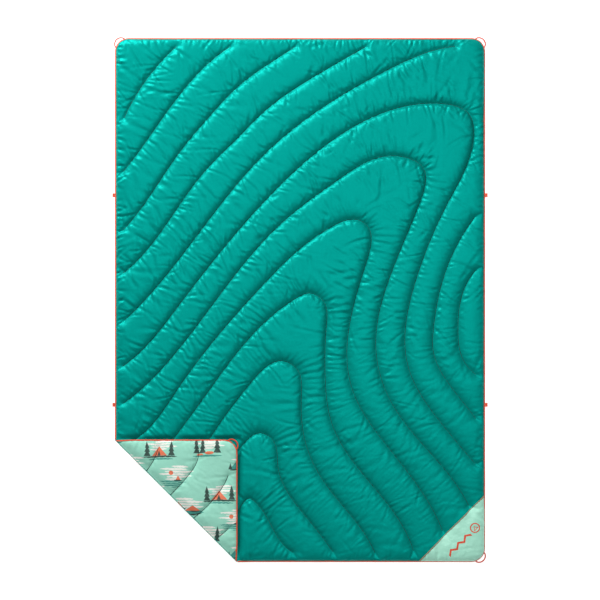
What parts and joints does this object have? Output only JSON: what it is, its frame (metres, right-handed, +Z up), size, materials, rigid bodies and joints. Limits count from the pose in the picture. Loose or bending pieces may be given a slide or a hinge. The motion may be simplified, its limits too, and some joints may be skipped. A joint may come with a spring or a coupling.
{
  "type": "camp blanket",
  "caption": "Flat quilted camp blanket with wavy stitch lines, orange edge binding, cord corner loops, side tabs and one corner folded over to show its printed lining.",
  "frame": {"origin": "on the ground under the middle of the blanket", "axes": "+Z up from the ground, +Y along the length towards the head end, +X across the width to the right seen from above; the folded corner is at -X, -Y"},
  "size_m": [1.353, 1.8954, 0.0412],
  "materials": {
    "shell_teal": "satin nylon",
    "lining_mint": "printed satin nylon",
    "fill_white": "lofty fibre",
    "binding_orange": "woven tape",
    "thread_dark": "sewing thread",
    "thread_orange": "sewing thread",
    "thread_sand": "sewing thread",
    "cord_orange": "braided cord",
    "webbing_orange": "woven webbing"
  },
  "bodies": {
    "blanket": {"face_shell": "shell_teal", "fill": "fill_white", "back_shell": "lining_mint", "edge_binding": "binding_orange", "binding_stitch": "thread_orange", "corner_patch": "lining_mint", "patch_topstitch": "thread_sand", "fold_wrap": "lining_mint", "quilt_thread_a": "thread_dark", "quilt_thread_b": "thread_dark", "quilt_thread_c": "thread_dark", "quilt_thread_d": "thread_dark", "quilt_thread_e": "thread_dark", "quilt_thread_f": "thread_dark", "quilt_thread_g": "thread_dark", "quilt_thread_h": "thread_dark", "quilt_thread_i": "thread_dark", "quilt_thread_j": "thread_dark", "quilt_thread_k": "thread_dark", "quilt_thread_l": "thread_dark", "quilt_thread_m": "thread_dark", "quilt_thread_n": "thread_dark"},
    "folded_corner": {"corner_face_shell": "shell_teal", "corner_fill": "fill_white", "corner_back_shell": "lining_mint", "corner_edge_binding": "binding_orange", "corner_binding_stitch": "thread_orange", "corner_quilt_thread_i": "thread_dark", "corner_quilt_thread_j": "thread_dark", "corner_quilt_thread_k": "thread_dark", "corner_quilt_thread_l": "thread_dark"},
    "loop_head_left": {"loop_head_left": "cord_orange"},
    "loop_head_right": {"loop_head_right": "cord_orange"},
    "loop_foot_right": {"loop_foot_right": "cord_orange"},
    "loop_folded_corner": {"loop_folded_corner": "cord_orange"},
    "tab_left_head": {"tab_left_head": "webbing_orange"},
    "tab_left_foot": {"tab_left_foot": "webbing_orange"},
    "tab_right_head": {"tab_right_head": "webbing_orange"},
    "tab_right_foot": {"tab_right_foot": "webbing_orange"}
  },
  "joints": [
    {"name": "corner_fold", "type": "hinge", "parent": "blanket", "child": "folded_corner", "pos_m": [-0.44495, -0.72245, 0.0206], "axis": [0.7071, -0.7071, 0], "range_deg": [0, 180], "deforming": ["fold_wrap"]},
    {"name": "loop_swing_head_left", "type": "hinge", "parent": "blanket", "child": "loop_head_left", "pos_m": [-0.65106, 0.92856, 0.01], "axis": [0.7071, 0.7071, 0], "range_deg": [-80, 80]},
    {"name": "loop_swing_head_right", "type": "hinge", "parent": "blanket", "child": "loop_head_right", "pos_m": [0.65106, 0.92856, 0.01], "axis": [0.7071, -0.7071, 0], "range_deg": [-80, 80]},
    {"name": "loop_swing_foot_right", "type": "hinge", "parent": "blanket", "child": "loop_foot_right", "pos_m": [0.65106, -0.92856, 0.01], "axis": [-0.7071, -0.7071, 0], "range_deg": [-80, 80]},
    {"name": "loop_swing_folded_corner", "type": "hinge", "parent": "folded_corner", "child": "loop_folded_corner", "pos_m": [-0.23885, -0.51635, 0.0312], "axis": [0.7071, -0.7071, 0], "range_deg": [-20, 80]},
    {"name": "tab_swing_left_head", "type": "hinge", "parent": "blanket", "child": "tab_left_head", "pos_m": [-0.6693, 0.378, 0.01], "axis": [0, 1, 0], "range_deg": [-70, 70]},
    {"name": "tab_swing_left_foot", "type": "hinge", "parent": "blanket", "child": "tab_left_foot", "pos_m": [-0.6693, -0.378, 0.01], "axis": [0, 1, 0], "range_deg": [-70, 70]},
    {"name": "tab_swing_right_head", "type": "hinge", "parent": "blanket", "child": "tab_right_head", "pos_m": [0.6693, 0.378, 0.01], "axis": [0, -1, 0], "range_deg": [-70, 70]},
    {"name": "tab_swing_right_foot", "type": "hinge", "parent": "blanket", "child": "tab_right_foot", "pos_m": [0.6693, -0.378, 0.01], "axis": [0, -1, 0], "range_deg": [-70, 70]}
  ]
}
